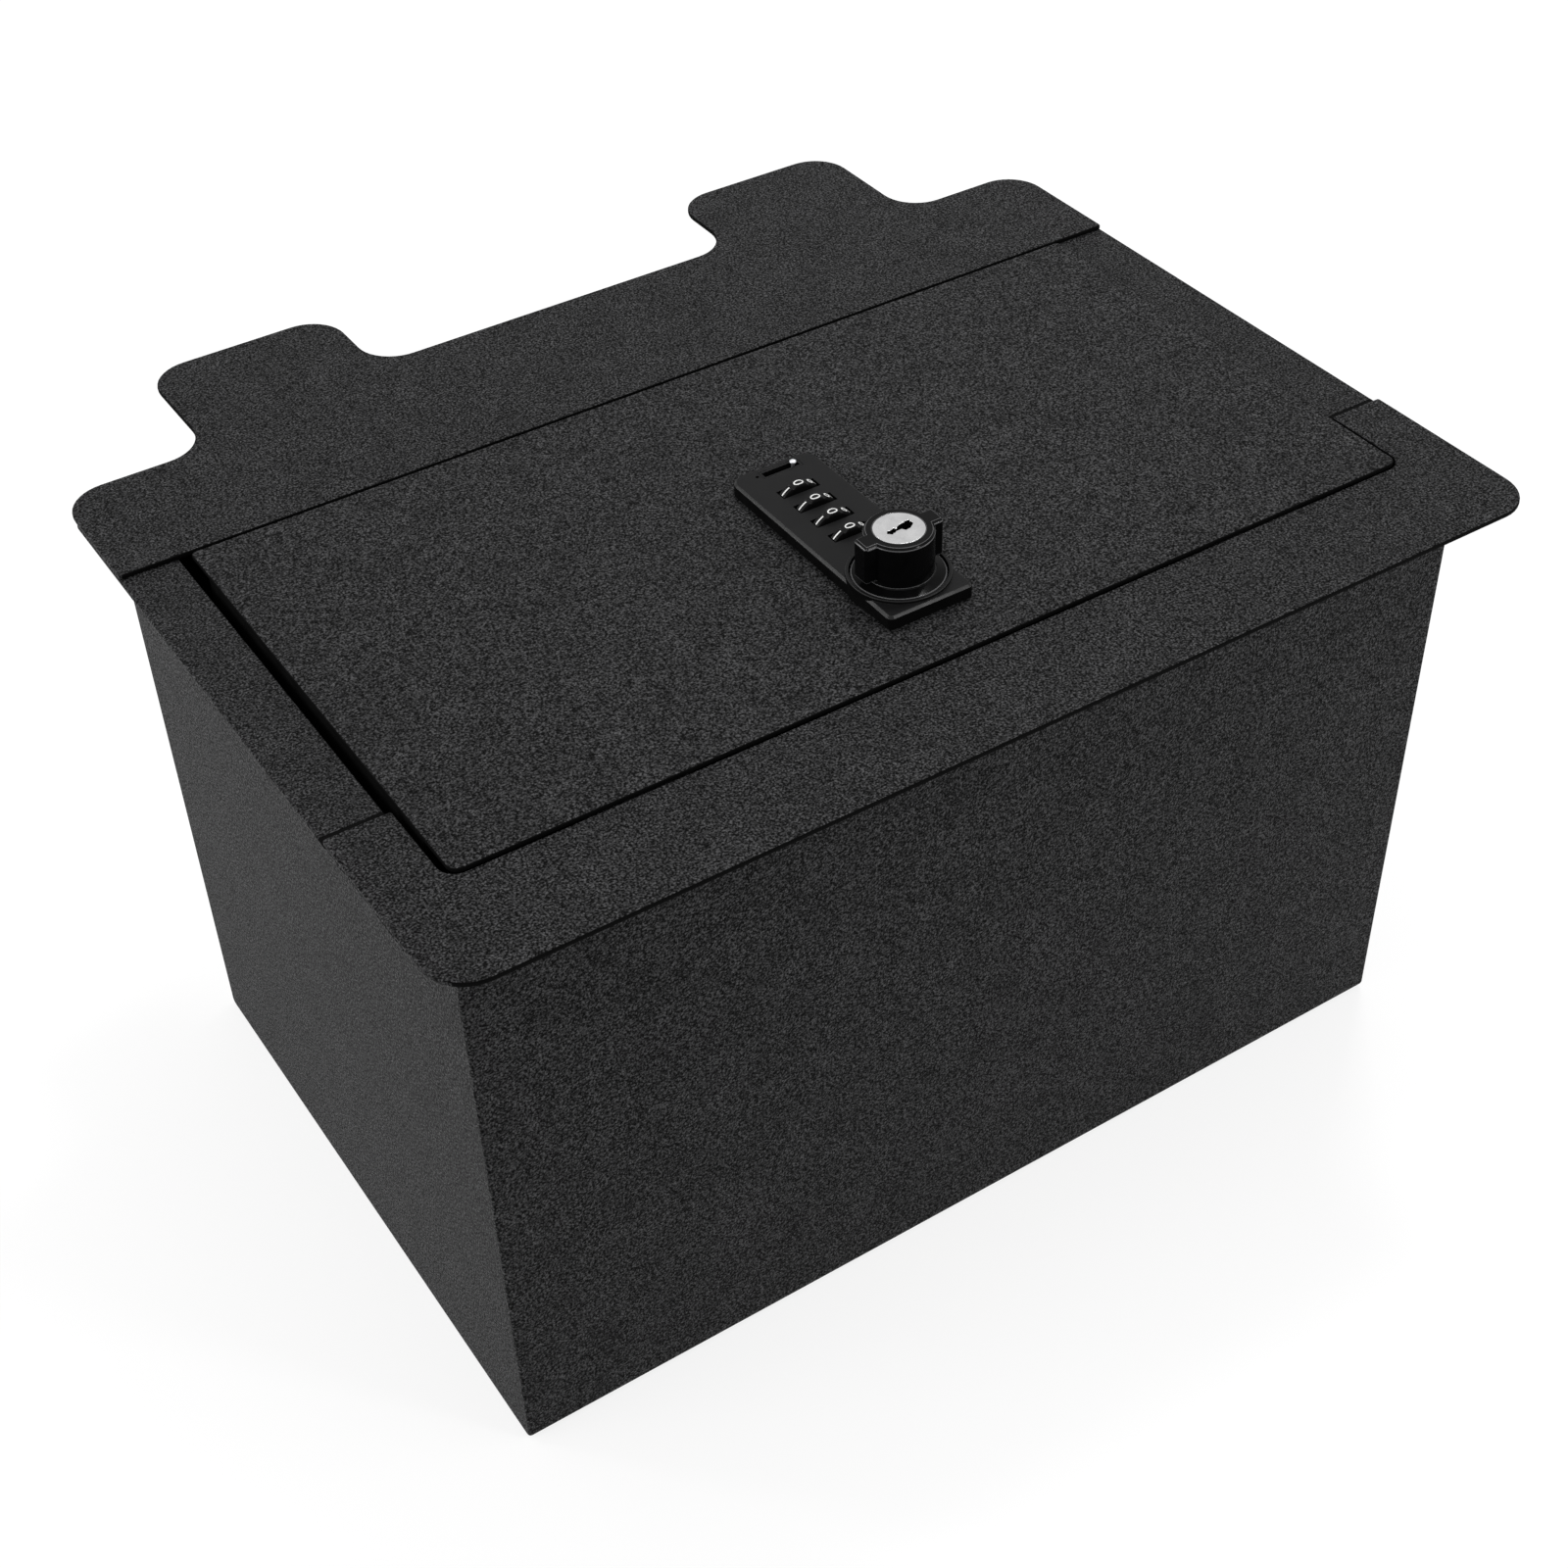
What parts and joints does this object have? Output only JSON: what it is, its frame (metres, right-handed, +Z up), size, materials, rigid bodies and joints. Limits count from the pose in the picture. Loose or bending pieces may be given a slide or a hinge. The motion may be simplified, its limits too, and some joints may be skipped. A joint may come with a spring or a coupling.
{
  "type": "cash box",
  "caption": "Steel lock box that drops into a vehicle console: wide top flange with rear tabs, a flat hinged lid, number-wheel lock with turn knob and key override.",
  "frame": {"origin": "on the floor plane, under the middle of the overall outline in X and Y", "axes": "+Z up, +X to the right along the width, -Y the front; the hinge is at the rear (+Y) and its tabs point to +Y"},
  "size_m": [0.328, 0.278, 0.2148],
  "materials": {
    "powder_coat": "black powder coat with a fine pebbled texture",
    "plated_steel": "bright zinc plate",
    "lock_casting": "smooth satin black over a die casting",
    "knob_black": "semi-gloss black",
    "wheel_plastic": "satin black with white numbers",
    "plug_chrome": "satin nickel plate",
    "bumper_rubber": "matte black rubber"
  },
  "bodies": {
    "box": {"box_wrap": "powder_coat", "left_side": "powder_coat", "right_side": "powder_coat", "left_flange": "powder_coat", "right_flange": "powder_coat", "front_plate": "powder_coat", "rear_plate": "powder_coat", "hinge_rail": "powder_coat", "hinge_fixed_leaf": "plated_steel", "hinge_pin": "plated_steel", "hinge_rivets": "plated_steel", "strike_bracket": "powder_coat", "lid_stops": "powder_coat", "stop_bumpers": "bumper_rubber"},
    "lid": {"lid_panel": "powder_coat", "lid_hinge_leaf": "plated_steel", "lock_escutcheon": "lock_casting", "lock_housing": "lock_casting", "wheel_axle": "plated_steel", "detent_spring": "plated_steel", "lock_screws": "plated_steel"},
    "wheel_1": {"number_wheel_1": "wheel_plastic"},
    "wheel_2": {"number_wheel_2": "wheel_plastic"},
    "wheel_3": {"number_wheel_3": "wheel_plastic"},
    "wheel_4": {"number_wheel_4": "wheel_plastic"},
    "slider": {"code_change_slider": "plated_steel"},
    "knob": {"turn_knob": "knob_black", "lock_spindle": "plated_steel", "latch_cam": "plated_steel", "cam_washer": "plated_steel", "cam_screw": "plated_steel"},
    "plug": {"key_plug": "plug_chrome"}
  },
  "joints": [
    {"name": "lid_hinge", "type": "hinge", "parent": "box", "child": "lid", "pos_m": [0, 0.0422, 0.1934], "axis": [-1, 0, 0], "range_deg": [0, 105]},
    {"name": "knob_turn", "type": "hinge", "parent": "lid", "child": "knob", "pos_m": [0.0004, -0.0739, 0.205], "axis": [0, 0, 1], "range_deg": [0, 90]},
    {"name": "key_turn", "type": "hinge", "parent": "knob", "child": "plug", "pos_m": [0.0004, -0.0739, 0.21], "axis": [0, 0, 1], "range_deg": [0, 90]},
    {"name": "code_change", "type": "slide", "parent": "lid", "child": "slider", "axis": [-1, 0, 0], "range_m": [0, 0.0084]},
    {"name": "wheel_1_turn", "type": "hinge", "parent": "lid", "child": "wheel_1", "pos_m": [0.0004, -0.0272, 0.1959], "axis": [0, 1, 0], "continuous": true},
    {"name": "wheel_2_turn", "type": "hinge", "parent": "lid", "child": "wheel_2", "pos_m": [0.0004, -0.03537, 0.1959], "axis": [0, 1, 0], "continuous": true},
    {"name": "wheel_3_turn", "type": "hinge", "parent": "lid", "child": "wheel_3", "pos_m": [0.0004, -0.04354, 0.1959], "axis": [0, 1, 0], "continuous": true},
    {"name": "wheel_4_turn", "type": "hinge", "parent": "lid", "child": "wheel_4", "pos_m": [0.0004, -0.05171, 0.1959], "axis": [0, 1, 0], "continuous": true}
  ]
}
